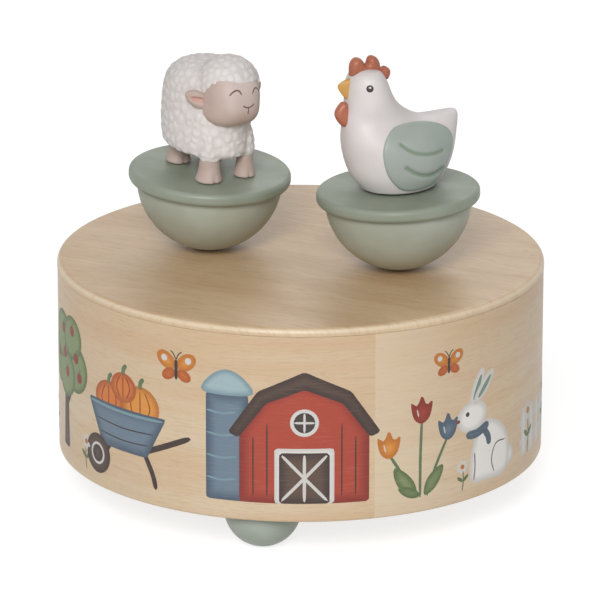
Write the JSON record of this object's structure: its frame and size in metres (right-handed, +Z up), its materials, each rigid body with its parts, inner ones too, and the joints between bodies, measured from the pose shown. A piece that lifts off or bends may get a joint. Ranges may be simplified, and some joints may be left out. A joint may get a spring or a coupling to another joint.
{
  "type": "music box",
  "caption": "Round wooden drum music box on ball feet with a wind-up movement and a magnetic sheep and hen that dance over its top.",
  "frame": {"origin": "middle of the footprint, level with the flats under the ball feet, on the axis of the drum, the key and the output spindle", "axes": "+Z up along the drum axis; the front, which the picture looks at, faces -Y; +X to the right of someone who faces the front"},
  "size_m": [0.12, 0.12, 0.1135],
  "materials": {
    "drum_wall": "light veneer, satin, with a printed frieze",
    "top_board": "light wood, satin",
    "bottom_board": "bare plywood",
    "ball_foot": "sage green paint, satin",
    "steel_screw": "zinc plated",
    "brass": "plain brass",
    "bedplate": "cast and tumbled",
    "bright_steel": "ground",
    "spring_steel": "blued strip",
    "white_plastic": "moulded",
    "magnet": "nickel plated",
    "sage_light": "light sage paint, satin",
    "sage_dark": "sage green paint, satin",
    "wool_white": "matte white paint on cast resin",
    "skin": "matte paint on cast resin",
    "hen_white": "matte white paint on cast resin",
    "brick_red": "matte paint",
    "ochre": "matte paint",
    "eye_brown": "glossy paint",
    "sage_wing": "matte paint"
  },
  "bodies": {
    "music_box": {"drum_wall": "drum_wall", "top_board": "top_board", "bottom_board": "bottom_board", "foot_front": "ball_foot", "foot_left": "ball_foot", "foot_right": "ball_foot", "board_screw_1": "steel_screw", "board_screw_2": "steel_screw", "board_screw_3": "steel_screw", "movement_screw_1": "steel_screw", "movement_screw_2": "steel_screw", "movement_screw_3": "steel_screw", "comb_screw_1": "brass", "comb_screw_2": "brass", "cylinder_bracket": "brass", "gear_bracket": "brass", "governor_bracket": "brass", "spindle_bridge": "brass", "movement_bedplate": "bedplate", "music_comb": "bright_steel", "sun_gear": "white_plastic"},
    "winding": {"winding_key": "brass", "winding_arbor": "bright_steel"},
    "output": {"spring_barrel": "brass", "crown_gear": "brass", "mainspring": "spring_steel", "output_spindle": "bright_steel", "carrier_arm": "white_plastic"},
    "cylinder": {"pin_cylinder": "brass", "cylinder_pinion": "brass", "cylinder_gear": "brass"},
    "governor_wheel": {"worm_wheel": "brass"},
    "governor": {"governor_fan": "white_plastic"},
    "planet_sheep": {"planet_gear_sheep": "white_plastic", "drive_magnet_sheep": "magnet"},
    "planet_hen": {"planet_gear_hen": "white_plastic", "drive_magnet_hen": "magnet"},
    "sheep": {"sheep_cup": "sage_light", "sheep_ear_left": "skin", "sheep_ear_right": "skin", "sheep_face": "skin", "sheep_fleece": "wool_white", "sheep_foreleg_left": "skin", "sheep_foreleg_right": "skin", "sheep_hindleg_left": "skin", "sheep_hindleg_right": "skin", "sheep_lid": "sage_dark", "sheep_magnet": "magnet"},
    "hen": {"hen_beak": "ochre", "hen_body": "hen_white", "hen_crest": "brick_red", "hen_cup": "sage_light", "hen_eye_left": "eye_brown", "hen_eye_right": "eye_brown", "hen_lid": "sage_dark", "hen_magnet": "magnet", "hen_wattle": "brick_red", "hen_wing_left": "sage_wing", "hen_wing_right": "sage_wing"}
  },
  "joints": [
    {"name": "winding_turn", "type": "hinge", "parent": "music_box", "child": "winding", "pos_m": [0, 0, 0.008], "axis": [0, 0, 1], "range_deg": [0, 1800]},
    {"name": "output_turn", "type": "hinge", "parent": "music_box", "child": "output", "pos_m": [0, 0, 0.034], "axis": [0, 0, 1], "continuous": true},
    {"name": "cylinder_turn", "type": "hinge", "parent": "music_box", "child": "cylinder", "pos_m": [0.0266, 0, 0.0263], "axis": [1, 0, 0], "continuous": true},
    {"name": "governor_wheel_turn", "type": "hinge", "parent": "music_box", "child": "governor_wheel", "pos_m": [0.0415, 0.0108, 0.0263], "axis": [1, 0, 0], "continuous": true},
    {"name": "governor_turn", "type": "hinge", "parent": "music_box", "child": "governor", "pos_m": [0.0422, 0.0043, 0.0263], "axis": [0, 0, 1], "continuous": true},
    {"name": "planet_sheep_turn", "type": "hinge", "parent": "output", "child": "planet_sheep", "pos_m": [-0.02346, 0.00789, 0.0534], "axis": [0, 0, 1], "continuous": true},
    {"name": "planet_hen_turn", "type": "hinge", "parent": "output", "child": "planet_hen", "pos_m": [0.02346, -0.00789, 0.0534], "axis": [0, 0, 1], "continuous": true},
    {"name": "sheep_lift", "type": "slide", "parent": "planet_sheep", "child": "sheep", "axis": [0, 0, 1], "range_m": [0, 0.06]},
    {"name": "hen_lift", "type": "slide", "parent": "planet_hen", "child": "hen", "axis": [0, 0, 1], "range_m": [0, 0.06]}
  ],
  "couplings": [
    {"joint": "cylinder_turn", "follows": "output_turn", "ratio": -2},
    {"joint": "governor_wheel_turn", "follows": "output_turn", "ratio": 4},
    {"joint": "governor_turn", "follows": "output_turn", "ratio": 64},
    {"joint": "planet_sheep_turn", "follows": "output_turn", "ratio": 1.5},
    {"joint": "planet_hen_turn", "follows": "output_turn", "ratio": 1.5}
  ]
}
